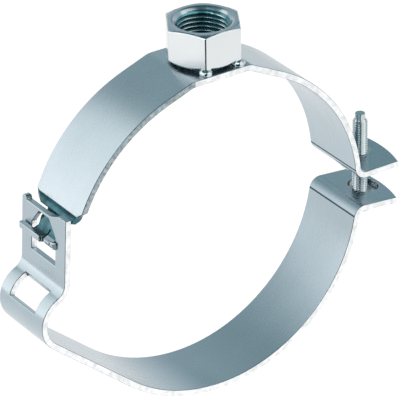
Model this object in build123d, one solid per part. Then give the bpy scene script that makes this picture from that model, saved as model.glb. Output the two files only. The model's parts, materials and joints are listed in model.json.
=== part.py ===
from build123d import *
from math import asin, atan2, cos, degrees, radians, sin, sqrt, tan
import os

# Two-part pipe clamp with a threaded boss on top, in millimetres.
# The pipe's axis is the Y axis and the origin is the middle of the lower half. +Z is up and +X
# points to the clamping screw. The hook that the two halves hinge on is on the -X side.

# Pipe and sheet
pipe_diameter = 125.0
lower_ring_play = 0.25       # between the pipe and each half's ring
upper_ring_play = 0.7
sheet = 2.5
strap_width = 30.0
halves_apart = 2.75          # upper half above the lower one, before the screw is tight
halves_aside = 0.35          # and beside it, towards the hook

# Flat seat for the boss
seat_rise = 0.25             # seat surface above the ring's outside
seat_leg_left = 20.0         # slopes of the two legs beside the seat, degrees
seat_leg_right = 26.5
seat_bend = 4.75             # inside radius of the seat's corners

# Flanges
upper_flange_under = 5.1     # underside of the upper flange above the origin
upper_flange_bend = 2.75
upper_flange_length = 17.28  # flat length from the bend to the middle of the rounded end
lower_flange_bend = 2.25
lower_flange_length = 17.6
lower_flange_slope = 4.9     # the lower flange drops outwards, degrees
flange_gap = 12.55           # between the flanges at the screw
flange_end_radius = 46.0

# Hook of the upper half
hook_angle = 22.3            # where the hook leaves the ring, degrees above the -X side
crease_bend = 0.4            # inside radius between the ring and the tongue
tongue_dip = 3.5             # slope of the tongue, degrees
tongue_bend = 0.3            # inside radius between the tongue and the neck
tongue_lip = 0.2             # the tongue goes on for this much after that bend
tongue_front = 13.0          # front edge, from the middle of the strap
tongue_shoulder = 1.7        # height over which the strap's front corner narrows to it
tongue_cut = 65.5            # the back edge is cut off at this angle, seen from above
tongue_cut_start = 0.7       # before the crease
neck_dip = 70.0              # slope of the neck through the window, degrees
neck_length = 6.6
neck_play = 0.4              # to the edges of the window at its front and its top
neck_back = 5.6              # back edge, below the window's slanted edge
foot_bend = 3.0              # inside radius between the neck and the head
bar_run = 1.59               # flat length of the head's level back arm
bar_back = 13.4              # its reach
bar_depth = 2.25
bar_corner = 1.0
lobe_dip = 26.0              # slope of the head's front arm, degrees
lobe_run = 2.5
lobe_front = 11.5
lobe_corner = 5.0
head_split = -2.0            # the slit between the two arms
head_slit = 0.5
head_notch = 1.1             # radius of the relief notch at its end
head_play = 0.3              # between the head and the tab

# Nose and tab of the lower half
leg_angle = 50.4             # where the straight leg leaves the ring, degrees below the -X side
nose_bend = 9.65             # inside radius
nose_turn = 114.3
nose_run = 0.5
tab_bend = 5.42
tab_lean = 2.8               # the tab leans towards the pipe, degrees
tab_above_head = 12.4
tab_window_width = 16.6
tab_window_top_width = 7.0
tab_window_above = 8.8       # from the head's middle to the window's top
tab_window_shoulder = 2.5    # and to the shoulders, where the narrowing starts
tab_window_below = 8.7
recess_depth = 2.5           # recess in the tab's top
recess_flat_front = -2.0
recess_front = -12.0         # where the soft rise ends
ear_width = 3.3              # the tab's back corner beside the recess
ear_drop = 1.1               # it ends below the front corner
ear_corner = 1.3
nose_window_width = 17.5
nose_window_top = 109.0      # ends of the nose's window, degrees around the nose
nose_window_foot = 160.5

# Threaded boss
boss_offset = 3.5            # boss axis beside the pipe's axis
boss_across_flats = 27.0
boss_height = 14.6
boss_bore = 18.63            # core diameter of a G 1/2 thread
boss_mouth = 22.8
boss_rim = 26.0              # diameter of the flat ends inside the chamfers
boss_top_chamfer = 18.0      # degrees
boss_foot_chamfer = 35.0
weld_gap = 1.2               # the boss stands this far off the seat, on its weld projections
weld_foot = 4.0
weld_circle = 27.6

# Clamping screw, washer and pressed-in nut
screw_diameter = 6.0
screw_from_bend = 7.48       # screw axis beyond the upper flange's bend
screw_above_flange = 16.7
screw_point_diameter = 4.1
screw_point_length = 2.2
screw_taper = 1.0
screw_head_flats = 10.0
screw_head_height = 4.0
screw_hole = 12.0            # in the lower flange
screw_hole_shift = 1.5       # its middle beyond the screw's axis
washer_diameter = 18.0
washer_bore = 6.12
washer_sheet = 1.6
washer_play = 0.12
nut_collar = 15.6
nut_collar_height = 2.3
nut_shank = 9.0
nut_bore = 6.1

# Worked out from the sizes above
half = sheet / 2
lower_inside = pipe_diameter / 2 + lower_ring_play
upper_inside = pipe_diameter / 2 + upper_ring_play
lower_mid = lower_inside + half
upper_mid = upper_inside + half
seat_surface = halves_apart + upper_inside + sheet + seat_rise
seat_mid = seat_surface - half


class Strip:
    """Side view of a bent strip. Its middle line is walked and both faces of the sheet follow."""

    def __init__(self, start, heading):
        self.x, self.z = start
        self.heading = heading
        self.left = []
        self.right = []
        self.centres = []
        self.first = self.faces_here()

    def faces_here(self):
        """Points on the sheet's left and right face at the place that the walk has reached."""
        across = radians(self.heading + 90)
        dx = half * cos(across)
        dz = half * sin(across)
        return (self.x + dx, self.z + dz), (self.x - dx, self.z - dz)

    def run(self, length):
        """Go straight on."""
        before = self.faces_here()
        self.x += length * cos(radians(self.heading))
        self.z += length * sin(radians(self.heading))
        after = self.faces_here()
        self.left.append(Line(before[0], after[0]))
        self.right.append(Line(before[1], after[1]))

    def bend(self, inside, turn):
        """Bend left by positive or right by negative degrees, about the inner face's radius."""
        side = 90 if turn > 0 else -90
        radius = inside + half
        across = radians(self.heading + side)
        centre = (self.x + radius * cos(across), self.z + radius * sin(across))
        self.centres.append(centre)
        stops = [self.faces_here()]
        for share in (0.5, 1.0):
            place = across + radians(180 + turn * share)
            self.x = centre[0] + radius * cos(place)
            self.z = centre[1] + radius * sin(place)
            self.heading += turn / 2
            stops.append(self.faces_here())
        self.left.append(ThreePointArc(*[stop[0] for stop in stops]))
        self.right.append(ThreePointArc(*[stop[1] for stop in stops]))

    def solid(self, width):
        """The strip with its width along Y."""
        last = self.faces_here()
        ends = [Line(*self.first), Line(*last)]
        return extrude(Plane.XZ * make_face(self.left + self.right + ends), width / 2, both=True)


def side_prism(points, width):
    """Prism along Y with its outline in the side view."""
    return extrude(Plane.XZ * make_face(Polyline(*points, close=True)), width / 2, both=True)


def end_prism(points, x, reach):
    """Prism along X, up to the reach on both sides of x, with its outline seen from the end."""
    return Pos(x, 0, 0) * extrude(Plane.YZ * make_face(Polyline(*points, close=True)), reach, both=True)


def flange_corners():
    """What the rounded end of a flange lacks. The tip is at the origin, the flange along -X."""
    block = Box(flange_end_radius / 4, strap_width + 2, 2 * sheet)
    return block - Pos(-flange_end_radius, 0, 0) * Cylinder(flange_end_radius, 3 * sheet)


# Where the upper flange's bend meets the ring, and the screw's axis
upper_flange_mid = upper_flange_under + half
upper_bend_mid = upper_flange_bend + half
upper_reach = upper_mid + upper_bend_mid
upper_start = degrees(asin((upper_flange_mid - halves_apart + upper_bend_mid) / upper_reach))
upper_bend_x = upper_reach * cos(radians(upper_start)) - halves_aside
upper_tip_x = upper_bend_x + upper_flange_length
screw_x = upper_bend_x + screw_from_bend

# The lower flange's middle line is level in a view turned by its slope, where its drop is:
slope = radians(lower_flange_slope)
lower_top_z = upper_flange_under - flange_gap
lower_drop = lower_top_z * cos(slope) + screw_x * sin(slope) - half
lower_bend_mid = lower_flange_bend + half
lower_bend_along = sqrt((lower_mid + lower_bend_mid) ** 2 - (lower_drop - lower_bend_mid) ** 2)
lower_start = lower_flange_slope + degrees(atan2(lower_bend_mid - lower_drop, lower_bend_along))
lower_tip_along = lower_bend_along + lower_flange_length


def on_lower_flange(along, drop):
    """Point in the side view for a place in the lower flange's turned view."""
    return along * cos(slope) + drop * sin(slope), drop * cos(slope) - along * sin(slope)


def seat_leg(angle):
    """Length of a leg from the ring to the seat's corner."""
    return (seat_mid - halves_apart - upper_mid * cos(radians(angle))) / sin(radians(angle))


def seat_corner(angle):
    """Distance of the seat's corner from the middle of the ring."""
    return upper_mid * sin(radians(angle)) - seat_leg(angle) * cos(radians(angle))


def walk_upper_band():
    """The upper half from its flange over the ring and the seat to the hook's head."""
    band = Strip((upper_tip_x, upper_flange_mid), 180)
    band.run(upper_flange_length)
    band.bend(upper_flange_bend, upper_start - 90)
    band.bend(upper_inside, 90 - seat_leg_right - upper_start)
    inset_right = (seat_bend + half) * tan(radians(seat_leg_right / 2))
    inset_left = (seat_bend + half) * tan(radians(seat_leg_left / 2))
    band.run(seat_leg(seat_leg_right) - inset_right)
    band.bend(seat_bend, seat_leg_right)
    band.run(seat_corner(seat_leg_right) + seat_corner(seat_leg_left) - inset_right - inset_left)
    band.bend(seat_bend, seat_leg_left)
    band.run(seat_leg(seat_leg_left) - inset_left)
    band.bend(upper_inside, 90 - seat_leg_left - hook_angle)
    return band


upper_band = walk_upper_band()

tongue = Strip((upper_band.x, upper_band.z), upper_band.heading)
tongue.bend(crease_bend, 180 + tongue_dip - tongue.heading)
crease_x, crease_z = tongue.faces_here()[1]
tongue.bend(tongue_bend, neck_dip - tongue_dip)
tongue.run(tongue_lip)

neck = Strip((tongue.x, tongue.z), tongue.heading)
neck.run(neck_length)

bar = Strip((neck.x, neck.z), neck.heading)
bar.bend(foot_bend, -neck_dip)
bar.run(bar_run)

lobe = Strip((neck.x, neck.z), neck.heading)
lobe.bend(foot_bend, lobe_dip - neck_dip)
lobe.run(lobe_run)

head_z = bar.z
head_outside = bar.x
head_inside = head_outside + bar_depth
tab_face = head_inside + head_play


def top_prism(points):
    """Prism along Z over the whole height of the hook, with its outline seen from above."""
    outline = make_face(Polyline(*points, close=True))
    return Pos(0, 0, head_z) * extrude(outline, strap_width, both=True)


def make_hook_waste():
    """What is cut off beside the tongue: a slanting cut at the back and a short taper in front."""
    side = strap_width / 2
    start = crease_x + tongue_cut_start
    run = side / tan(radians(tongue_cut))
    back = [(start, side), (start - run, 0), (start - run, side + 1), (start, side + 1)]
    top = crease_z + tongue_shoulder
    low = head_z - 2 * sheet
    edge = -tongue_front
    front = [(-side, top), (edge, crease_z), (edge, low), (-side - 1, low), (-side - 1, top)]
    return top_prism(back) + end_prism(front, crease_x, 4 * sheet)


def neck_room():
    """Room inside the tab for the neck and the head's feet, clear of the window's edges."""
    narrow = tab_window_top_width / 2 - neck_play
    wide = tab_window_width / 2 - neck_play
    high = head_z + tab_window_above
    shoulder = head_z + tab_window_shoulder
    bend_at = shoulder + (high - shoulder) * (wide - neck_back) / (wide - narrow)
    above = high + 2 * sheet
    below = head_z - 2 * sheet
    outline = [
        (-narrow, above),
        (-narrow, high),
        (-wide, shoulder),
        (-wide, below),
        (neck_back, below),
        (neck_back, bend_at),
        (narrow, high),
        (narrow, above),
    ]
    return end_prism(outline, head_inside + strap_width / 2, strap_width / 2)


def make_bar():
    """The head's back arm, a level bar outside the tab."""
    front = head_split + head_slit / 2
    inside = head_inside + strap_width
    corners = [(head_outside, front), (inside, front), (inside, neck_back), (head_outside, neck_back)]
    length = bar_back - front
    arm = Pos(head_outside + bar_depth / 2, bar_back - length / 2, head_z) * Box(bar_depth, length, sheet)
    outer = arm.edges().filter_by(Axis.Z).group_by(Axis.X)[0].sort_by(Axis.Y)
    return (bar.solid(strap_width) & top_prism(corners)) + fillet(outer[-1], bar_corner)


def make_lobe():
    """The head's front arm, bent less than the other one and rounded."""
    front = -lobe_front
    back = head_split - head_slit / 2
    inside = head_inside + strap_width
    reach = lobe.x - sheet
    outside = top_prism([(reach, front), (head_inside, front), (head_inside, back), (reach, back)])
    corners = [(head_inside, front), (inside, front), (inside, back), (head_inside, back)]
    foot = neck_room() & top_prism(corners)
    rounding = Pos(lobe.x, -lobe_front, head_z) * Box(2 * lobe_corner, 2 * lobe_corner, 6 * sheet)
    middle = Pos(lobe.x + lobe_corner, lobe_corner - lobe_front, head_z)
    rounding -= middle * Cylinder(lobe_corner, 8 * sheet)
    return (lobe.solid(strap_width) & (outside + foot)) - rounding


def make_upper_strap():
    """Upper half: flange, ring with the flat seat, and the hook with its split T head."""
    band = upper_band.solid(strap_width)
    band -= Pos(upper_tip_x, 0, upper_flange_mid) * flange_corners()
    band -= Pos(screw_x, 0, upper_flange_mid) * Cylinder(nut_shank / 2, 2 * sheet)
    notch = Pos(head_outside, head_split, head_z) * Cylinder(head_notch, 3 * sheet)
    hook = (neck.solid(strap_width) & neck_room()) + make_bar() + make_lobe() - notch
    return band + tongue.solid(strap_width) - make_hook_waste() + hook


def walk_lower_band(leg, tab):
    """The lower half from its flange under the ring and up the leg to the top of the tab."""
    band = Strip(on_lower_flange(lower_tip_along, lower_drop), 180 - lower_flange_slope)
    band.run(lower_flange_length)
    band.bend(lower_flange_bend, 90 + lower_flange_slope - lower_start)
    band.bend(lower_inside, lower_start + leg_angle - 180)
    if leg:
        band.run(leg)
    band.bend(nose_bend, -nose_turn)
    band.run(nose_run)
    band.bend(tab_bend, 90 - tab_lean - band.heading)
    if tab:
        band.run(tab)
    return band


def fit_lower_band():
    """Choose the leg so that the tab meets the head's place, and the tab so that it ends above it."""
    lean = radians(tab_lean)
    leg_heading = radians(90 + leg_angle)
    bare = walk_lower_band(0, 0)
    wanted = tab_face + half / cos(lean)
    missing = wanted - bare.x - (head_z - bare.z) * tan(lean)
    leg = missing / (cos(leg_heading) - sin(leg_heading) * tan(lean))
    foot_z = bare.z + leg * sin(leg_heading)
    tab = (head_z + tab_above_head - foot_z) / cos(lean)
    return walk_lower_band(leg, tab)


lower_band = fit_lower_band()
tab_top = lower_band.z


def make_tab_window():
    """House-shaped window that the neck goes through."""
    wide = tab_window_width / 2
    narrow = tab_window_top_width / 2
    low = head_z - tab_window_below
    shoulder = head_z + tab_window_shoulder
    high = head_z + tab_window_above
    roof = [(wide, shoulder), (narrow, high), (-narrow, high), (-wide, shoulder)]
    return end_prism([(-wide, low), (wide, low)] + roof, tab_face, 2 * sheet)


def make_tab_recess():
    """Recess in the tab's top, with a soft rise at the front and a rounded ear at the back."""
    floor = tab_top - recess_depth
    above = tab_top + recess_depth
    side = strap_width / 2
    ear_front = side - ear_width
    ear_top = tab_top - ear_drop
    shoulder = ear_top - ear_corner
    turn = ear_corner * (1 - sqrt(0.5))
    rise = Spline((recess_front, tab_top), (recess_flat_front, floor), tangents=[(1, 0), (1, 0)])
    steep = Polyline((recess_flat_front, floor), (ear_front, floor), (ear_front, shoulder))
    corner = ThreePointArc(
        (ear_front, shoulder), (ear_front + turn, ear_top - turn), (ear_front + ear_corner, ear_top)
    )
    flat = Line((ear_front + ear_corner, ear_top), (side - ear_corner, ear_top))
    far_corner = ThreePointArc((side - ear_corner, ear_top), (side - turn, ear_top - turn), (side, shoulder))
    outer = Polyline(
        (side, shoulder),
        (side + 1, shoulder),
        (side + 1, above),
        (recess_front, above),
        (recess_front, tab_top),
    )
    outline = make_face([rise] + steep.edges() + [corner, flat, far_corner] + outer.edges())
    return Pos(tab_face, 0, 0) * extrude(Plane.YZ * outline, 2 * sheet, both=True)


def make_nose_window():
    """Window around the nose, its ends square to the sheet."""
    centre = lower_band.centres[2]
    reach = 2 * (nose_bend + sheet)
    outline = [centre]
    for angle in (nose_window_top, nose_window_foot):
        place = radians(angle)
        outline.append((centre[0] + reach * cos(place), centre[1] + reach * sin(place)))
    return side_prism(outline, nose_window_width)


def make_lower_strap():
    """Lower half: flange with the screw hole, ring, leg, nose and tab."""
    band = lower_band.solid(strap_width)
    tip = on_lower_flange(lower_tip_along, lower_drop)
    band -= Pos(tip[0], 0, tip[1]) * Rot(0, lower_flange_slope, 0) * flange_corners()
    hole_x = screw_x + screw_hole_shift
    hole_z = lower_top_z - screw_hole_shift * tan(slope) - half
    band -= Pos(hole_x, 0, hole_z) * Rot(0, lower_flange_slope, 0) * Cylinder(screw_hole / 2, 3 * sheet)
    return band - make_tab_window() - make_tab_recess() - make_nose_window()


def make_threaded_boss():
    """Hexagon boss with both ends chamfered, standing on weld projections under its corners."""
    corner = boss_across_flats / sqrt(3)
    rim = boss_rim / 2
    beyond = corner + 1 - rim
    top_fall = beyond * tan(radians(boss_top_chamfer))
    foot_rise = beyond * tan(radians(boss_foot_chamfer))
    profile = Polyline(
        (0, 0),
        (rim, 0),
        (rim + beyond, foot_rise),
        (rim + beyond, boss_height - top_fall),
        (rim, boss_height),
        (0, boss_height),
        close=True,
    )
    turned = revolve(Plane.XZ * make_face(profile), Axis.Z)
    body = turned & extrude(RegularPolygon(corner, 6), boss_height)
    outline = Pos(0, 0, -weld_gap) * extrude(RegularPolygon(corner, 6), boss_height / 2)
    for angle in (60, 120, 240, 300):
        foot = Rot(0, 0, angle) * Pos(weld_circle / 2, 0, 0) * Cylinder(weld_foot / 2, 2 * weld_gap + sheet)
        body += foot & outline
    bore = boss_bore / 2
    mouth = boss_mouth / 2
    countersink = mouth - bore
    hollow = Polyline(
        (0, -weld_gap),
        (bore, -weld_gap),
        (bore, boss_height - countersink),
        (mouth, boss_height),
        (0, boss_height),
        close=True,
    )
    body -= revolve(Plane.XZ * make_face(hollow), Axis.Z)
    return Pos(boss_offset, 0, seat_surface + weld_gap) * body


def make_press_nut():
    """Round nut pressed into the upper flange from below."""
    collar = Pos(0, 0, -nut_collar_height / 2) * Cylinder(nut_collar / 2, nut_collar_height)
    shank = Pos(0, 0, half) * Cylinder(nut_shank / 2, sheet)
    nut = collar + shank - Cylinder(nut_bore / 2, 4 * sheet)
    return Pos(screw_x, 0, upper_flange_under) * nut


# The washer lies square to the screw and touches the sloping flange at its outer edge
flange_underside = lower_top_z - sheet / cos(slope)
washer_top = flange_underside - washer_diameter / 2 * tan(slope) - washer_play


def make_screw_washer():
    """Flat washer under the lower flange."""
    ring = Cylinder(washer_diameter / 2, washer_sheet) - Cylinder(washer_bore / 2, 2 * washer_sheet)
    return Pos(screw_x, 0, washer_top - washer_sheet / 2) * ring


def make_clamp_screw():
    """Hexagon screw from below with a dog point on top."""
    head_top = washer_top - washer_sheet
    tip = upper_flange_under + sheet + screw_above_flange
    shank = screw_diameter / 2
    point = screw_point_diameter / 2
    profile = Polyline(
        (0, head_top - screw_head_height / 2),
        (shank, head_top - screw_head_height / 2),
        (shank, tip - screw_point_length - screw_taper),
        (point, tip - screw_point_length),
        (point, tip),
        (0, tip),
        close=True,
    )
    turned = revolve(Plane.XZ * make_face(profile), Axis.Z)
    corner = screw_head_flats / sqrt(3)
    head = Pos(0, 0, head_top - screw_head_height) * extrude(RegularPolygon(corner, 6), screw_head_height)
    return Pos(screw_x, 0, 0) * (turned + head)


os.makedirs("parts", exist_ok=True)
export_step(make_upper_strap(), "parts/upper_strap.step")
export_step(make_lower_strap(), "parts/lower_strap.step")
export_step(make_threaded_boss(), "parts/threaded_boss.step")
export_step(make_press_nut(), "parts/press_nut.step")
export_step(make_screw_washer(), "parts/screw_washer.step")
export_step(make_clamp_screw(), "parts/clamp_screw.step")
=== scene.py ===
# %% [markdown]
# A hinged pipe clamp
#
# Two bent steel straps are hooked into each other on one side and drawn together by a screw on
# the other. A hexagon boss with a pipe thread is welded on top, and it carries the whole clamp.
# Everything is zinc plated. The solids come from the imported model, at their real size, and this
# script gives them what a drawing leaves out: rounded edges, threads, weld beads and a finish.

# %% Load the model
import bpy
import json
import math
from mathutils import Matrix, Vector

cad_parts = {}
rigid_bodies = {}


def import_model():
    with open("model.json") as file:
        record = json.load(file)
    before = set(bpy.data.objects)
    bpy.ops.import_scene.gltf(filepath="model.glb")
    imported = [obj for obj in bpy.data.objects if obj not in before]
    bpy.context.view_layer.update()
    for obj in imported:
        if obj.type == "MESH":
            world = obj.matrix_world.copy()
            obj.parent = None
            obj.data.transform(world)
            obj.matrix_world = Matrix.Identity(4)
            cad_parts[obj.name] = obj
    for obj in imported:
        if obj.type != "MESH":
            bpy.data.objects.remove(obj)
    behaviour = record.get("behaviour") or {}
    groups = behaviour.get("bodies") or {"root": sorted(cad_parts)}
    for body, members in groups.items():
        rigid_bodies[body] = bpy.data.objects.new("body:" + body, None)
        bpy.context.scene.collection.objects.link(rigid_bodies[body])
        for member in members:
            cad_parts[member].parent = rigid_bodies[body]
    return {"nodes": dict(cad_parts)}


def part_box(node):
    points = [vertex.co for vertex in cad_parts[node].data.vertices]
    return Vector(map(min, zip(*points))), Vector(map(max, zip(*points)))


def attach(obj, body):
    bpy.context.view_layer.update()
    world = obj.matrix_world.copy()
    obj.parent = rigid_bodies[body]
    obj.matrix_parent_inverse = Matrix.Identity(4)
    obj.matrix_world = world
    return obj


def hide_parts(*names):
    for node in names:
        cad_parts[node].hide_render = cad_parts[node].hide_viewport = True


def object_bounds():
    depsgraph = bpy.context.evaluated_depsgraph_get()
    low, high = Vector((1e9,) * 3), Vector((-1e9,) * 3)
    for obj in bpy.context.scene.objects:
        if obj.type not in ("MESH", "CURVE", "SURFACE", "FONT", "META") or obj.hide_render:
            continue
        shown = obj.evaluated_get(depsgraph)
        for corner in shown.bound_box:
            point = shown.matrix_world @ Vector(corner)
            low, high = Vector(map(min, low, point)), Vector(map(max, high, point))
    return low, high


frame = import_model()
for leftover in [item for item in bpy.data.objects if item.name in ("Cube", "Light", "Camera")]:
    bpy.data.objects.remove(leftover)
cad_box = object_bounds()
print("nodes:", sorted(frame["nodes"]))
print("model box in mm:", [[round(value * 1000, 2) for value in corner] for corner in cad_box])

# %% [markdown]
# Working in millimetres, one piece at a time
#
# Blender works in metres, and a clamp is drawn in millimetres. One factor, MM, turns the one into
# the other, so every size below can be read as it would stand on a drawing. Operators act on
# whatever is selected, as they do under the mouse. A few helpers therefore pick out one piece, open
# it in edit mode, and apply a modifier or its place.

# %% Helpers for selecting
MM = 0.001


def only(piece):
    """Make this piece the only one selected, and the active one."""
    if bpy.context.object and bpy.context.object.mode != "OBJECT":
        bpy.ops.object.mode_set(mode="OBJECT")
    bpy.ops.object.select_all(action="DESELECT")
    piece.hide_viewport = False
    piece.select_set(True)
    bpy.context.view_layer.objects.active = piece


def edit(piece, select="NOTHING", mode="VERT"):
    """Open a piece in edit mode with everything or nothing selected."""
    only(piece)
    bpy.ops.object.mode_set(mode="EDIT")
    bpy.ops.mesh.select_mode(type=mode)
    bpy.ops.mesh.select_all(action="SELECT" if select == "ALL" else "DESELECT")


def leave_edit():
    bpy.ops.object.mode_set(mode="OBJECT")


def apply_modifier(piece, kind, **settings):
    """Add one modifier, set it up and apply it."""
    only(piece)
    modifier = piece.modifiers.new(kind.title(), kind)
    for key, value in settings.items():
        setattr(modifier, key, value)
    bpy.ops.object.modifier_apply(modifier=modifier.name)


def apply_place(piece):
    """Put the piece's place, turn and size into its mesh, so that its object sits at the origin."""
    only(piece)
    bpy.ops.object.transform_apply(location=True, rotation=True, scale=True)


# %% [markdown]
# Starting from the solid
#
# A piece whose shape is right needs no second modelling. Its solid could be shown as it is, but its
# mesh is loose triangles, which no bevel can round. So a copy is welded: the triangles are merged,
# and the flat areas are dissolved into single faces, which leaves clean edges.

# %% Copy a solid
FLAT = math.radians(0.1)
WELD_GAP = 0.001 * MM


def welded_copy(node, name):
    """A closed copy of a node's mesh, with its flat areas as single faces."""
    source = frame["nodes"][node]
    piece = bpy.data.objects.new(name, source.data.copy())
    bpy.context.scene.collection.objects.link(piece)
    piece.data.materials.clear()
    only(piece)
    bpy.ops.mesh.customdata_custom_splitnormals_clear()
    edit(piece, "ALL")
    bpy.ops.mesh.remove_doubles(threshold=WELD_GAP)
    bpy.ops.mesh.dissolve_limited(angle_limit=FLAT)
    leave_edit()
    return piece


# %% [markdown]
# Rounded edges
#
# No punched or milled edge is perfectly sharp, and plating rounds it a little more. The thin
# line of light or dark along such an edge is what makes metal look like metal. The edges could be
# picked one by one, but a bevel limited by angle finds every real edge and leaves the bent surfaces
# alone. Where two edges run together almost in line, a bevel can throw a corner far out, so each
# corner that has left the solid's surface is put back on it. Weighted normals then keep the large
# faces flat in the shading.

# %% Round the edges of a piece
EDGE_ANGLE = math.radians(30)
SMOOTH_ANGLE = math.radians(38)
STRAY = 0.2 * MM
NORMAL_WEIGHT = 80


def round_edges(piece, width, segments=3):
    apply_modifier(
        piece, "BEVEL", width=width, segments=segments, limit_method="ANGLE",
        angle_limit=EDGE_ANGLE, use_clamp_overlap=False, miter_outer="MITER_SHARP",
    )


def put_back(piece, node):
    """Put corners that stand off the solid back on its surface."""
    solid = frame["nodes"][node]
    for corner in piece.data.vertices:
        found, place, normal, index = solid.closest_point_on_mesh(corner.co)
        if found and (corner.co - place).length > STRAY:
            corner.co = place


def smooth_shading(piece):
    only(piece)
    bpy.ops.object.shade_smooth_by_angle(angle=SMOOTH_ANGLE)
    apply_modifier(piece, "WEIGHTED_NORMAL", keep_sharp=True, weight=NORMAL_WEIGHT)


# %% [markdown]
# Noise for a finish
#
# Plated steel is a bluish white metal, but its gloss isn't even: rolling leaves faint streaks along
# the strip, and the bath leaves soft clouds. One flat grey would look like plastic. So noise moves
# each value of the metal a little, and the strong light and dark are left to what the metal
# reflects. The noise reads the piece's own coordinates, so that it stays on the piece.

# %% Noise on a piece
NOISE_LOW = 0.3
NOISE_HIGH = 0.7
NOISE_DETAIL = 3.0


def add_node(tree, kind, **inputs):
    """A shader node with its inputs set by name."""
    node = tree.nodes.new(kind)
    for name, value in inputs.items():
        node.inputs[name.replace("_", " ")].default_value = value
    return node


def noise(tree, stretch, scale):
    """Noise on the piece's own coordinates, stretched by a mapping node."""
    place = tree.nodes.new("ShaderNodeTexCoord")
    mapping = add_node(tree, "ShaderNodeMapping", Scale=stretch)
    texture = add_node(tree, "ShaderNodeTexNoise", Scale=scale, Detail=NOISE_DETAIL)
    tree.links.new(place.outputs["Object"], mapping.inputs["Vector"])
    tree.links.new(mapping.outputs["Vector"], texture.inputs["Vector"])
    return texture.outputs["Fac"]


def ranged(tree, value, low, high):
    """Spread a noise value over a range."""
    span = add_node(
        tree, "ShaderNodeMapRange", From_Min=NOISE_LOW, From_Max=NOISE_HIGH, To_Min=low, To_Max=high
    )
    tree.links.new(value, span.inputs["Value"])
    return span.outputs["Result"]


# %% [markdown]
# Zinc plating
#
# Every surface of the clamp has the same plating, worked in another way. Each could be a material
# made by hand, but one recipe with a few numbers keeps them a family: the colour, two limits for
# the roughness, the streaks, the strength of the fine grain, and how strong and how small the
# spots in the colour are. Noise that is stretched gives streaks: it changes quickly across them
# and slowly along them.

# %% The recipe for zinc
GRAIN_SCALE = 1400.0
GRAIN_DEPTH = 0.02 * MM
UNSTRETCHED = (1, 1, 1)
EVEN = (300, 300, 300)


def zinc(name, colour, roughness, streaks, grain, tint=0.05, spots=45.0):
    """Plated metal: clouds or spots in its colour, streaks in its gloss, a fine bump."""
    material = bpy.data.materials.new(name)
    material.use_nodes = True
    tree = material.node_tree
    shader = tree.nodes["Principled BSDF"]
    shader.inputs["Metallic"].default_value = 1.0
    clouds = noise(tree, UNSTRETCHED, spots)
    shade = tree.nodes.new("ShaderNodeValToRGB")
    darker, lighter = shade.color_ramp.elements
    darker.position = NOISE_LOW
    lighter.position = NOISE_HIGH
    darker.color = [part * (1 - tint) for part in colour] + [1]
    lighter.color = [min(1, part * (1 + tint / 2)) for part in colour] + [1]
    tree.links.new(clouds, shade.inputs["Fac"])
    tree.links.new(shade.outputs["Color"], shader.inputs["Base Color"])
    gloss = noise(tree, streaks, 1.0)
    tree.links.new(ranged(tree, gloss, roughness[0], roughness[1]), shader.inputs["Roughness"])
    bump = add_node(tree, "ShaderNodeBump", Strength=grain, Distance=GRAIN_DEPTH)
    tree.links.new(noise(tree, UNSTRETCHED, GRAIN_SCALE), bump.inputs["Height"])
    tree.links.new(bump.outputs["Normal"], shader.inputs["Normal"])
    return material


def give_finishes(piece, finishes):
    """Replace a piece's materials. Its faces name them by their number in this row."""
    piece.data.materials.clear()
    for finish in finishes:
        piece.data.materials.append(finish)


# %% [markdown]
# The straps' finishes
#
# Each half is one strip of sheet, punched flat and then bent. Its wide faces are rolled and
# smooth. Its narrow faces were sheared by the punch, so they are duller and lighter, and rougher
# and mottled along the upper half on the hook's side, where they are also darker, which is painted
# shade. The rim between the two, rounded by the punch, is darker, which is a painted dark
# reflection, and the hook is darker, which is painted shade. A thin dark line, also a painted dark
# reflection, runs across each strap where the bend of its flange begins.

# %% Mix the straps' finishes
ALONG_THE_STRIP = (40, 1100, 40)
ACROSS_THE_EDGE = (500, 60, 500)

strap_zinc = zinc("strap_zinc", (0.405, 0.495, 0.545), (0.25, 0.285), ALONG_THE_STRIP, 0.06)
edge_zinc = zinc("edge_zinc", (0.84, 0.88, 0.90), (0.25, 0.45), ACROSS_THE_EDGE, 0.6, 0.2, 500.0)
# Rougher and mottled, and darker: the darker tone is painted shade.
rough_painted_shade_zinc = zinc("rough_painted_shade_zinc", (0.36, 0.44, 0.47), (0.3, 0.5), ACROSS_THE_EDGE, 1.0, 0.5, 600.0)
# The rim's dark tone is a painted dark reflection along each rounded edge.
rim_painted_reflection_zinc = zinc("rim_painted_reflection_zinc", (0.13, 0.21, 0.24), (0.2, 0.3), EVEN, 0.2, 0.3, 400.0)
# The hook's dark tone is painted shade.
hook_painted_shade_zinc = zinc("hook_painted_shade_zinc", (0.055, 0.15, 0.18), (0.2, 0.35), EVEN, 0.4, 0.5, 250.0)
# A dark line painted where the bend reflects the dark room: a painted dark reflection.
bend_line_painted_reflection_zinc = zinc("bend_line_painted_reflection_zinc", (0.03, 0.08, 0.10), (0.3, 0.4), EVEN, 0.2)
strap_finishes = (strap_zinc, edge_zinc, rough_painted_shade_zinc, rim_painted_reflection_zinc, hook_painted_shade_zinc, bend_line_painted_reflection_zinc)
print("finishes of the straps:", [finish.name for finish in strap_finishes])

# %% [markdown]
# Telling a strap's faces apart
#
# The faces could be picked by hand, but a change to the model would upset such a list. The way a
# face looks and the place of its middle say enough: a sheared face looks along the pipe, the rim
# looks half along it, the hook lies in one small box, and a bend line lies at a known height.

# %% Choose a finish for a face
SIDEWAYS = 0.93
INWARDS = 0.3
TOWARDS_HOOK = -0.9
# Up to here along x the upper strap's cut edge is rougher and darker; the darkness is painted shade.
ROUGH_PAINTED_SHADE_UP_TO = -10 * MM
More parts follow.
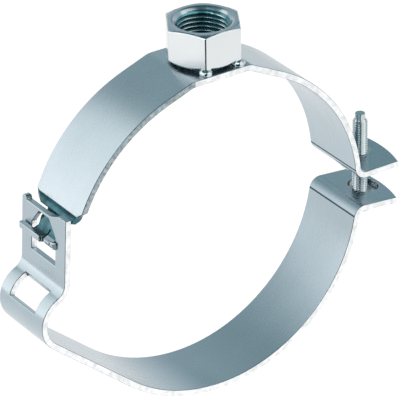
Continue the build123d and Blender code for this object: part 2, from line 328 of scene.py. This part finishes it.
# The box that holds the hook, whose faces get the painted shade.
HOOK_SIDE = (-68.35 * MM, -61.2 * MM)
HOOK_HEIGHT = (14.0 * MM, 27.5 * MM)
# Where the painted dark reflection lies: along the start of each flange's bend.
BEND_FROM = 60 * MM
BEND_LINE_UPPER = 9.39 * MM
BEND_LINE_LOWER = -10.33 * MM
BEND_LINE_REACH = 0.3 * MM


def strap_finish(face, is_upper):
    """0 rolled, 1 sheared, 2 rougher with painted shade, 3 rim with a painted dark reflection, 4 hook
    with painted shade, 5 a painted dark line at the bend.
    """
    x, y, z = face.center
    line = BEND_LINE_UPPER if is_upper else BEND_LINE_LOWER
    if x > BEND_FROM and face.normal.x < TOWARDS_HOOK and abs(z - line) < BEND_LINE_REACH:
        return 5
    if is_upper and HOOK_SIDE[0] < x < HOOK_SIDE[1] and HOOK_HEIGHT[0] < z < HOOK_HEIGHT[1]:
        return 4
    if abs(face.normal.y) > SIDEWAYS:
        return 2 if is_upper and x < ROUGH_PAINTED_SHADE_UP_TO else 1
    return 3 if abs(face.normal.y) > INWARDS else 0


# %% [markdown]
# The two straps
#
# The solids already have the straps' bends, windows and hook, so their copies are only rounded and
# finished. A face can have one finish alone, and a narrow side is one long face. The upper strap is
# therefore bisected first, where its rougher stretch with painted shade ends.

# %% Finish the straps
STRAP_EDGE = 0.34 * MM


def finish_strap(node, name, body):
    """Round a strap's edges and give every face its finish."""
    is_upper = node == "upper_strap"
    piece = welded_copy(node, name)
    if is_upper:
        edit(piece, "ALL")
        bpy.ops.mesh.bisect(plane_co=(ROUGH_PAINTED_SHADE_UP_TO, 0, 0), plane_no=(1, 0, 0))
        leave_edit()
    round_edges(piece, STRAP_EDGE)
    put_back(piece, node)
    give_finishes(piece, strap_finishes)
    for face in piece.data.polygons:
        face.material_index = strap_finish(face, is_upper)
    smooth_shading(piece)
    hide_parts(node)
    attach(piece, body)
    print(name, "faces:", len(piece.data.polygons))


finish_strap("upper_strap", "upper_strap_plated", "upper_half")
finish_strap("lower_strap", "lower_strap_plated", "lower_half")

# %% [markdown]
# A screw thread
#
# A thread is one small profile carried up a helix. Bump could suggest it, but not its outline or
# the light between its turns, so it is modelled. The profile is drawn by extruding a single vertex,
# from the core out to the crest and back, over exactly one pitch.

# %% Draw one pitch of the flank
ROUNDING = 0.08
FLAT_SHARE = 0.06


def thread_profile(core, crest, pitch):
    """Points of one pitch of the flank, as radius and height."""
    depth = crest - core
    return [
        (core, 0),
        (core + ROUNDING * depth, FLAT_SHARE * pitch),
        (crest - ROUNDING * depth, (0.5 - FLAT_SHARE) * pitch),
        (crest, 0.5 * pitch),
        (crest - ROUNDING * depth, (0.5 + FLAT_SHARE) * pitch),
        (core + ROUNDING * depth, (1 - FLAT_SHARE) * pitch),
        (core, pitch),
    ]


def draw_flank(name, points, start):
    """One pitch of the flank as a line of edges, from a start height."""
    bpy.ops.object.select_all(action="DESELECT")
    bpy.ops.mesh.primitive_plane_add(size=MM, location=(0, 0, 0))
    piece = bpy.context.object
    piece.name = name
    edit(piece, "ALL")
    bpy.ops.mesh.merge(type="CENTER")
    bpy.ops.transform.translate(value=(points[0][0], 0, start))
    for (r0, z0), (r1, z1) in zip(points, points[1:]):
        bpy.ops.mesh.extrude_region_move(TRANSFORM_OT_translate={"value": (r1 - r0, 0, z1 - z0)})
    leave_edit()
    return piece


# %% [markdown]
# From the flank to a rod
#
# The Screw modifier carries the flank round and up. Each turn meets the last one, and merging the
# doubles welds them into one skin. Two level cuts, closed as they are made, leave a solid rod with
# flat ends, which serves as a tap for a bore or as the screw itself.

# %% Make a threaded rod
SAME_PLACE = 0.01 * MM


def cut_flat(piece, height, keep_below):
    """Cut the piece level at a height, close the cut, and drop what is beyond it."""
    edit(piece, "ALL")
    bpy.ops.mesh.bisect(
        plane_co=(0, 0, height), plane_no=(0, 0, 1), use_fill=True,
        clear_outer=keep_below, clear_inner=not keep_below,
    )
    leave_edit()


def threaded_rod(name, core, crest, pitch, low, high, steps=72):
    """A closed rod with a right-hand thread and flat ends, on the Z axis between two heights."""
    turns = math.ceil((high - low) / pitch) + 2
    piece = draw_flank(name, thread_profile(core, crest, pitch), low - pitch)
    apply_modifier(
        piece, "SCREW", axis="Z", angle=2 * math.pi, screw_offset=pitch, iterations=turns,
        steps=steps, render_steps=steps,
    )
    edit(piece, "ALL")
    bpy.ops.mesh.remove_doubles(threshold=SAME_PLACE)
    leave_edit()
    cut_flat(piece, low, keep_below=False)
    cut_flat(piece, high, keep_below=True)
    edit(piece, "ALL")
    bpy.ops.mesh.normals_make_consistent(inside=False)
    leave_edit()
    return piece


# %% [markdown]
# Cutting and joining
#
# A tap cuts its groove out of a bore, and a screw's head grows out of its shank. Both are the work
# of a Boolean modifier, and the exact solver keeps even the thin crests of a thread. It can leave
# corners that fall together and faces without any width, which are cleared away at once.

# %% Combine two closed pieces
SLIVER = 0.002 * MM


def clean(piece):
    """Merge corners that fall together and drop faces without any width."""
    edit(piece, "ALL")
    bpy.ops.mesh.remove_doubles(threshold=SLIVER)
    bpy.ops.mesh.dissolve_degenerate(threshold=SLIVER)
    leave_edit()


def combine(piece, other, operation):
    """Cut, join or intersect two closed pieces, and delete the second one."""
    apply_modifier(piece, "BOOLEAN", object=other, operation=operation, solver="EXACT")
    bpy.data.objects.remove(other)
    clean(piece)


# %% [markdown]
# The threaded boss
#
# The boss is cut from hexagon bar: its ends are turned, which leaves the curved chamfers on its
# flats, and it is bored and tapped with a pipe thread, 14 threads to the inch. The solid is bored
# to the core of that thread, so only the grooves are missing. They could be swept along a helix,
# but a tap that is taken away from the boss also runs out of the bore's chamfers as a real one
# does. The outer edges are rounded first, so that the bevel doesn't touch the thread.

# %% Tap the boss
BOSS_EDGE = 0.6 * MM
INCH = 25.4 * MM
PIPE_PITCH = INCH / 14
PIPE_THREAD_CREST = 20.955 / 2 * MM
PIPE_THREAD_CORE = 18.66 / 2 * MM
TAP_STEPS = 96

boss_low, boss_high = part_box("threaded_boss")
boss_x = (boss_low.x + boss_high.x) / 2
boss = welded_copy("threaded_boss", "boss_tapped")
round_edges(boss, BOSS_EDGE)
tap = threaded_rod(
    "tap", PIPE_THREAD_CORE, PIPE_THREAD_CREST, PIPE_PITCH, boss_low.z - MM, boss_high.z + MM, TAP_STEPS
)
tap.location.x = boss_x
apply_place(tap)
combine(boss, tap, "DIFFERENCE")
print("boss from", round(boss_low.z / MM, 2), "to", round(boss_high.z / MM, 2), "mm, tapped")

# %% [markdown]
# The boss's finishes
#
# Three finishes: the bar's bright flats with upright streaks and the greyer turned top show how the
# boss was made, and the grooves are painted dark, which is painted shade, beside the bright crests
# of the thread. A face is told by its distance from the bore's axis, its height and the way it looks.

# %% Finish the boss
UPRIGHT = (300, 300, 40)
BORE_REACH = 10.8 * MM
BORE_CHAMFER = 1.2 * MM
CREST_DEPTH = 0.12 * MM
TURNED_DEPTH = 3 * MM
UPWARDS = 0.3

boss_zinc = zinc("boss_zinc", (0.70, 0.75, 0.77), (0.17, 0.21), UPRIGHT, 0.08)
# The grooves' dark tone is painted shade.
bore_painted_shade_zinc = zinc("bore_painted_shade_zinc", (0.11, 0.29, 0.33), (0.2, 0.3), EVEN, 0.2)
turned_zinc = zinc("turned_zinc", (0.46, 0.53, 0.57), (0.15, 0.25), EVEN, 0.1)
give_finishes(boss, (boss_zinc, bore_painted_shade_zinc, turned_zinc))
for face in boss.data.polygons:
    reach = math.hypot(face.center.x - boss_x, face.center.y)
    inside = reach < BORE_REACH and boss_low.z + MM < face.center.z < boss_high.z - BORE_CHAMFER
    # Faces in the thread's grooves, which get the painted shade.
    groove = inside and reach > PIPE_THREAD_CORE + CREST_DEPTH
    face.material_index = 1 if groove else 0
    if not inside and face.normal.z > UPWARDS and face.center.z > boss_high.z - TURNED_DEPTH:
        face.material_index = 2
smooth_shading(boss)
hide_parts("threaded_boss")
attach(boss, "upper_half")
print("boss faces:", len(boss.data.polygons))

# %% [markdown]
# Weld beads
#
# The boss stands on four small projections that melt when it is pressed on under current. What is
# left is a bead under four of its corners, uneven and glossy, and larger in front than behind. A
# fluid could be simulated for it, but at this size a sphere will do that is flattened and then
# pushed about by a soft noise, each one differently, because the noise depends on its place.

# %% Make the weld beads
BEAD_WIDTH = 5.2 * MM
BEAD_HEIGHT = 3.8 * MM
BEAD_LIFT = 0.6 * MM
BEAD_LUMPS = 1.5 * MM
BEAD_UNEVENNESS = 0.5 * MM
FRONT_SHARE = 1.0
REAR_SHARE = 0.62
FRONT_CIRCLE = 14.3 * MM
REAR_CIRCLE = 13.2 * MM
# Each bead's angle, its share of the full width, and its distance from the boss's axis.
BEADS = (
    (60, REAR_SHARE, REAR_CIRCLE),
    (120, REAR_SHARE, REAR_CIRCLE),
    (240, FRONT_SHARE, FRONT_CIRCLE),
    (300, FRONT_SHARE, FRONT_CIRCLE),
)
FINE = (900, 900, 900)

weld_zinc = zinc("weld_zinc", (0.55, 0.63, 0.66), (0.08, 0.2), FINE, 0.4, 0.3, 500.0)
seat_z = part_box("upper_strap")[1].z
bead_texture = bpy.data.textures.new("bead_unevenness", "CLOUDS")
bead_texture.noise_scale = BEAD_LUMPS
for number, (angle, share, circle) in enumerate(BEADS, start=1):
    turn = math.radians(angle)
    place = (boss_x + circle * math.cos(turn), circle * math.sin(turn), seat_z + BEAD_LIFT)
    bpy.ops.object.select_all(action="DESELECT")
    bpy.ops.mesh.primitive_uv_sphere_add(
        segments=32, ring_count=16, radius=share * BEAD_WIDTH / 2, location=place
    )
    bead = bpy.context.object
    bead.name = f"weld_bead_{number}"
    bead.scale.z = BEAD_HEIGHT / BEAD_WIDTH
    apply_place(bead)
    apply_modifier(
        bead, "DISPLACE", texture=bead_texture, texture_coords="LOCAL", strength=BEAD_UNEVENNESS,
        mid_level=0.5,
    )
    only(bead)
    bpy.ops.object.shade_smooth()
    bead.data.materials.append(weld_zinc)
    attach(bead, "upper_half")
print("weld beads:", len(BEADS), "on the seat at", round(seat_z / MM, 2), "mm")

# %% [markdown]
# The clamping screw
#
# A metric screw comes up through both flanges, with its head below the lower one. Its thread is
# rolled, 1 mm in pitch, and its end is a short plain point. Where the head ends and the thread
# stops is worked out from its solid, so that the two keep the same length.

# %% Measure the screw
HEAD_HEIGHT = 4.0 * MM
POINT_LENGTH = 2.2 * MM
POINT_TAPER = 1.0 * MM

screw_low, screw_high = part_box("clamp_screw")
screw_x = (screw_low.x + screw_high.x) / 2
head_top = screw_low.z + HEAD_HEIGHT
thread_end = screw_high.z - POINT_LENGTH
taper_start = thread_end - POINT_TAPER
print("thread from", round(head_top / MM, 2), "to", round(thread_end / MM, 2), "mm")

# %% [markdown]
# A blank for the thread
#
# On a real screw the thread fades out towards the point, because the blank under the rolling dies
# narrows there. The same is done here: a cylinder gets a tapered end, by an extrusion that is then
# made narrower, and the threaded rod is trimmed to it. The rod starts inside the head and runs past
# the blank's end, by lengths that aren't whole turns of the thread, so that none of its corners
# lies in the plane of a cut.

# %% Trim the thread to a blank
SCREW_CREST = 5.94 / 2 * MM
SCREW_CORE = 4.8 / 2 * MM
SCREW_PITCH = 1.0 * MM
POINT_RADIUS = 4.1 / 2 * MM
BLANK_CLEARANCE = 0.1 * MM
ROD_IN_HEAD = 1.4 * MM
ROD_PAST_END = 0.7 * MM
LEVEL = 0.9


def cylinder(name, radius, low, high, vertices=64):
    """A closed cylinder on the Z axis between two heights."""
    bpy.ops.object.select_all(action="DESELECT")
    bpy.ops.mesh.primitive_cylinder_add(
        vertices=vertices, radius=radius, depth=high - low, location=(0, 0, (low + high) / 2)
    )
    piece = bpy.context.object
    piece.name = name
    apply_place(piece)
    return piece


def select_level(piece, height):
    """Select the faces that look up or down at a height."""
    edit(piece, mode="FACE")
    leave_edit()
    for face in piece.data.polygons:
        face.select = abs(face.normal.z) > LEVEL and abs(face.center.z - height) < SAME_PLACE
    bpy.ops.object.mode_set(mode="EDIT")


def taper_end(piece, height, rise, share):
    """Extrude the end at a height by a rise, and narrow it to a share of its width."""
    select_level(piece, height)
    bpy.ops.mesh.extrude_region_move(TRANSFORM_OT_translate={"value": (0, 0, rise)})
    bpy.ops.transform.resize(value=(share, share, 1), center_override=(0, 0, height + rise))
    leave_edit()


screw = threaded_rod(
    "screw_threaded", SCREW_CORE, SCREW_CREST, SCREW_PITCH,
    head_top - ROD_IN_HEAD, thread_end + ROD_PAST_END,
)
blank = cylinder("blank", SCREW_CREST + BLANK_CLEARANCE, head_top - 2 * MM, taper_start)
taper_end(blank, taper_start, POINT_TAPER, POINT_RADIUS / SCREW_CREST)
combine(screw, blank, "INTERSECT")
print("threaded shank:", len(screw.data.polygons), "faces")

# %% [markdown]
# Point and head
#
# The plain point finds the nut's hole before the thread does. It is a short cylinder with a rounded
# end, joined to the shank. The head is a hexagon, and its lower corners are turned off: a wide
# cylinder that narrows at its lower end, here called the crown, is intersected with it, which
# leaves the curved chamfers that a bevel couldn't.

# %% Add the point and the head
POINT_EDGE = 0.3 * MM
HEAD_FLATS = 10.0 * MM
HEAD_EDGE = 0.15 * MM
CROWN_CLEARANCE = 0.05 * MM
CROWN_DROP = 1.2 * MM
CROWN_SHARE = 0.8

point = cylinder("point", POINT_RADIUS, thread_end - MM, screw_high.z)
round_edges(point, POINT_EDGE)
combine(screw, point, "UNION")
head_reach = HEAD_FLATS / math.sqrt(3)
crown_start = screw_low.z + MM
head = cylinder("head", head_reach, screw_low.z, head_top, 6)
crown = cylinder("crown", head_reach + CROWN_CLEARANCE, crown_start, head_top + MM, 96)
taper_end(crown, crown_start, -CROWN_DROP, CROWN_SHARE)
combine(head, crown, "INTERSECT")
round_edges(head, HEAD_EDGE, 2)
combine(screw, head, "UNION")
screw_top = max(corner.co.z for corner in screw.data.vertices)
print("screw's top:", round(screw_top / MM, 3), "mm, its solid's:", round(screw_high.z / MM, 3), "mm")

# %% [markdown]
# The screw's finish
#
# A rolled thread is burnished by the dies, so the screw is smoother than the straps and the boss.
# It was made on the Z axis, where cuts are easiest, and is now put in its place.

# %% Finish the screw
screw_zinc = zinc("screw_zinc", (0.54, 0.61, 0.63), (0.12, 0.18), EVEN, 0.1)
screw.location.x = screw_x
apply_place(screw)
give_finishes(screw, (screw_zinc,))
smooth_shading(screw)
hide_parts("clamp_screw")
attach(screw, "screw")
print("screw faces:", len(screw.data.polygons))

# %% [markdown]
# Washer and press nut
#
# Both are plain rings, the one stamped and the other turned. Their solids have the right shape, so
# copies with rounded edges are enough. The washer is dull and light, and the nut has the screw's
# finish.

# %% Finish the rings
RING_EDGE = 0.2 * MM

washer_zinc = zinc("washer_zinc", (0.90, 0.93, 0.94), (0.4, 0.6), EVEN, 0.2)
for node, name, body, finish in (
    ("screw_washer", "washer_plated", "washer", washer_zinc),
    ("press_nut", "press_nut_plated", "upper_half", screw_zinc),
):
    ring = welded_copy(node, name)
    round_edges(ring, RING_EDGE, 2)
    give_finishes(ring, (finish,))
    smooth_shading(ring)
    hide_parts(node)
    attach(ring, body)
    print(name, "faces:", len(ring.data.polygons))

# %% [markdown]
# A paper floor
#
# Metal shows its surroundings, so the studio is half of the finish. Paper lies below the clamp and
# has to look white. More light on it would bleach the metal too. So the paper glows, and only for
# the rays that come from the camera or off the metal. The glow lights nothing, and the paper still
# takes the clamp's shadow.

# %% Lay the floor
FLOOR_SIZE = 30
FLOOR_DROP = 0.24
PAPER = (0.9, 0.91, 0.92, 1)
PAPER_GLOW = 0.7
PAPER_TINT = (1.0, 0.84, 0.78, 1)


def seen_rays(tree):
    """1 for what the camera sees, directly or in metal, and 0 for the light that falls on things."""
    rays = tree.nodes.new("ShaderNodeLightPath")
    total = rays.outputs["Is Camera Ray"]
    for name in ("Is Glossy Ray", "Is Transmission Ray"):
        both = tree.nodes.new("ShaderNodeMath")
        both.operation = "ADD"
        both.use_clamp = True
        tree.links.new(total, both.inputs[0])
        tree.links.new(rays.outputs[name], both.inputs[1])
        total = both.outputs[0]
    return total


def paint(name, **inputs):
    """A plain material with the shader's inputs set by name."""
    material = bpy.data.materials.new(name)
    material.use_nodes = True
    shader = material.node_tree.nodes["Principled BSDF"]
    for key, value in inputs.items():
        shader.inputs[key.replace("_", " ")].default_value = value
    return material


bpy.ops.object.select_all(action="DESELECT")
bpy.ops.mesh.primitive_plane_add(size=FLOOR_SIZE, location=(0, 0, cad_box[0].z - FLOOR_DROP))
floor = bpy.context.object
floor.name = "paper_floor"
paper = paint(
    "paper", Base_Color=PAPER, Roughness=0.9, Specular_IOR_Level=0.0, Emission_Color=PAPER_TINT
)
sheet = paper.node_tree
glow = add_node(sheet, "ShaderNodeMapRange", To_Min=0.0, To_Max=PAPER_GLOW)
sheet.links.new(seen_rays(sheet), glow.inputs["Value"])
sheet.links.new(glow.outputs["Result"], sheet.nodes["Principled BSDF"].inputs["Emission Strength"])
floor.data.materials.append(paper)
print("floor at", round(floor.location.z / MM, 1), "mm")

# %% [markdown]
# The room
#
# Around the clamp the room is nearly white up to the horizon, which makes the upright faces pale.
# Higher up it turns grey and at last a dark blue-green, which gives the level faces their deeper
# tone. A picture of a real studio could do this, but here only the height of the view counts, so a
# dot product with the upward direction and a colour ramp are enough.

# %% Tone the room
# Where the view goes, from straight down at 0 to straight up at 1, and the tone there.
ROOM_TONES = (
    (0.00, (0.90, 0.93, 0.94)),
    (0.50, (0.95, 0.97, 0.98)),
    (0.64, (0.70, 0.76, 0.79)),
    (0.74, (0.49, 0.60, 0.64)),
    (0.84, (0.50, 0.61, 0.64)),
    (0.90, (0.13, 0.24, 0.27)),
    (1.00, (0.04, 0.12, 0.14)),
)

world = bpy.data.worlds.new("studio")
bpy.context.scene.world = world
world.use_nodes = True
room = world.node_tree
direction = room.nodes.new("ShaderNodeTexCoord")
height = room.nodes.new("ShaderNodeVectorMath")
height.operation = "DOT_PRODUCT"
height.inputs[1].default_value = (0, 0, 1)
spread = add_node(room, "ShaderNodeMapRange", From_Min=-1.0, From_Max=1.0)
tones = room.nodes.new("ShaderNodeValToRGB")
while len(tones.color_ramp.elements) < len(ROOM_TONES):
    tones.color_ramp.elements.new(0.5)
for stop, (position, colour) in zip(tones.color_ramp.elements, ROOM_TONES):
    stop.position = position
for stop, (position, colour) in zip(tones.color_ramp.elements, ROOM_TONES):
    stop.color = (*colour, 1)
room.links.new(direction.outputs["Generated"], height.inputs[0])
room.links.new(height.outputs["Value"], spread.inputs["Value"])
room.links.new(spread.outputs["Result"], tones.inputs["Fac"])
room.links.new(tones.outputs["Color"], room.nodes["Background"].inputs["Color"])
room.nodes["Background"].inputs["Strength"].default_value = 1.0
print("tones of the room:", len(ROOM_TONES))

# %% [markdown]
# Soft panels
#
# Three large soft boxes stand behind, to the left and in front. A bare lamp would give the metal
# one hard spark, but a panel gives it a broad light with soft ends. The camera itself doesn't see
# them. Their warm colour balances the cool room.

# %% Set up the soft panels
PANEL_COLOUR = (1.0, 0.84, 0.77)
BACK_LEAN = math.radians(20)


def soft_panel(name, width, height, watts, place, faces, lean=0.0):
    """A soft box: a large area lamp that the camera itself doesn't see."""
    bpy.ops.object.light_add(type="AREA", location=place)
    panel = bpy.context.object
    panel.name = name
    panel.data.shape = "RECTANGLE"
    panel.data.size = width
    panel.data.size_y = height
    panel.data.energy = watts
    panel.data.color = PANEL_COLOUR
    turn = Vector(faces).to_track_quat("-Z", "Y").to_matrix() @ Matrix.Rotation(lean, 3, "Z")
    panel.rotation_euler = turn.to_euler()
    panel.visible_camera = False
    print(name, "gives", watts, "W")


soft_panel(
    "back_panel", width=0.7, height=0.5, watts=1.15,
    place=(-0.475, 0.25, 0.3), faces=(0, -1, 0), lean=BACK_LEAN,
)
soft_panel(
    "left_panel", width=0.6, height=0.6, watts=1.05,
    place=(-0.6, -0.05, 0.35), faces=(1, 0, 0),
)
soft_panel(
    "front_panel", width=0.8, height=0.65, watts=1.5,
    place=(0.27, -0.42, 0.42), faces=(-0.27, 0.42, -0.25),
)

# %% [markdown]
# Two cards in the metal
#
# A bright metal thing in a bright room has no edges. Photographers put them back with cards that
# only the metal sees. A dark cloth on the camera's side draws the dark line along each rounded edge
# and down the middle of the screw, and a grey card behind gives the tops of the flanges their tone.
# Neither one lights the clamp, throws a shadow or shows to the camera.

# %% Hang the cards
CLOTH = (0.01, 0.03, 0.04, 1)
CLOTH_TURN = math.radians(-40)
CARD_TONE = (0.24, 0.38, 0.42, 1)
BLACK = (0, 0, 0, 1)
UPRIGHT_TURN = math.radians(90)


def mirrored_card(name, width, height, place, turn, material):
    """An upright card that shows only in metal: it lights nothing and throws no shadow."""
    bpy.ops.mesh.primitive_plane_add(size=1, location=place)
    card = bpy.context.object
    card.name = name
    card.scale = (width, height, 1)
    card.rotation_euler = (UPRIGHT_TURN, 0, turn)
    apply_place(card)
    card.data.materials.append(material)
    card.visible_camera = False
    card.visible_diffuse = False
    card.visible_shadow = False
    print(name, "hung at", place)
    return card


cloth = paint("dark_cloth", Base_Color=CLOTH, Roughness=1.0)
flag = mirrored_card(
    "dark_flag", width=0.44, height=0.62, place=(-0.249, -0.305, 0.0), turn=CLOTH_TURN, material=cloth
)

grey = paint("grey_paint", Base_Color=BLACK, Emission_Color=CARD_TONE, Emission_Strength=1.0)
card = mirrored_card(
    "grey_card", width=0.26, height=0.30, place=(0.40, 0.366, 0.29), turn=0, material=grey
)

# %% [markdown]
# A lamp for the shadow
#
# One round lamp high on the left gives the clamp a direction of light and the floor a soft shadow.
# It is aimed by a vector from its place to the middle of the ring.

# %% Place the lamp
LAMP_PLACE = (-0.9, -0.5, 1.1)
LAMP_SIZE = 0.7
LAMP_WATTS = 3.0

bpy.ops.object.light_add(type="AREA", location=LAMP_PLACE)
lamp = bpy.context.object
lamp.name = "soft_lamp"
lamp.data.shape = "DISK"
lamp.data.size = LAMP_SIZE
lamp.data.energy = LAMP_WATTS
lamp.rotation_euler = (-Vector(LAMP_PLACE)).to_track_quat("-Z", "Y").to_euler()
print(lamp.name, "gives", LAMP_WATTS, "W")

# %% [markdown]
# The camera
#
# A long lens from the front left and above, as for a catalogue. It could be aimed at the clamp by
# eye, but the outline then drifts. So its distance, heading, height and roll were worked out by
# matching the clamp's own edges, and its three directions are built from these angles.

# %% Set up the camera
HEADING = math.radians(33.41)
HEIGHT = math.radians(28.88)
ROLL = math.radians(-0.85)
DISTANCE = 1.522
PIXELS_PER_METRE = 2651
FRAME_PIXELS = 400
SENSOR = 36.0
CENTRE_LEFT = 2.0
CENTRE_BELOW = 22.78

back = Vector((
    -math.sin(HEADING) * math.cos(HEIGHT),
    -math.cos(HEADING) * math.cos(HEIGHT),
    math.sin(HEIGHT),
))
right = Vector((math.cos(HEADING), -math.sin(HEADING), 0))
up = back.cross(right)
rolled_right = math.cos(ROLL) * right + math.sin(ROLL) * up
rolled_up = math.cos(ROLL) * up - math.sin(ROLL) * right
camera_data = bpy.data.cameras.new("camera")
camera = bpy.data.objects.new("camera", camera_data)
bpy.context.scene.collection.objects.link(camera)
camera.matrix_world = Matrix.Translation(back * DISTANCE) @ Matrix(
    (rolled_right, rolled_up, back)
).transposed().to_4x4()
camera_data.sensor_width = SENSOR
camera_data.lens = PIXELS_PER_METRE * DISTANCE / FRAME_PIXELS * SENSOR
camera_data.shift_x = CENTRE_LEFT / FRAME_PIXELS
camera_data.shift_y = CENTRE_BELOW / FRAME_PIXELS
camera_data.clip_end = 50
bpy.context.scene.camera = camera
bpy.context.scene.view_settings.view_transform = "Standard"
print("lens in mm:", round(camera_data.lens, 1))
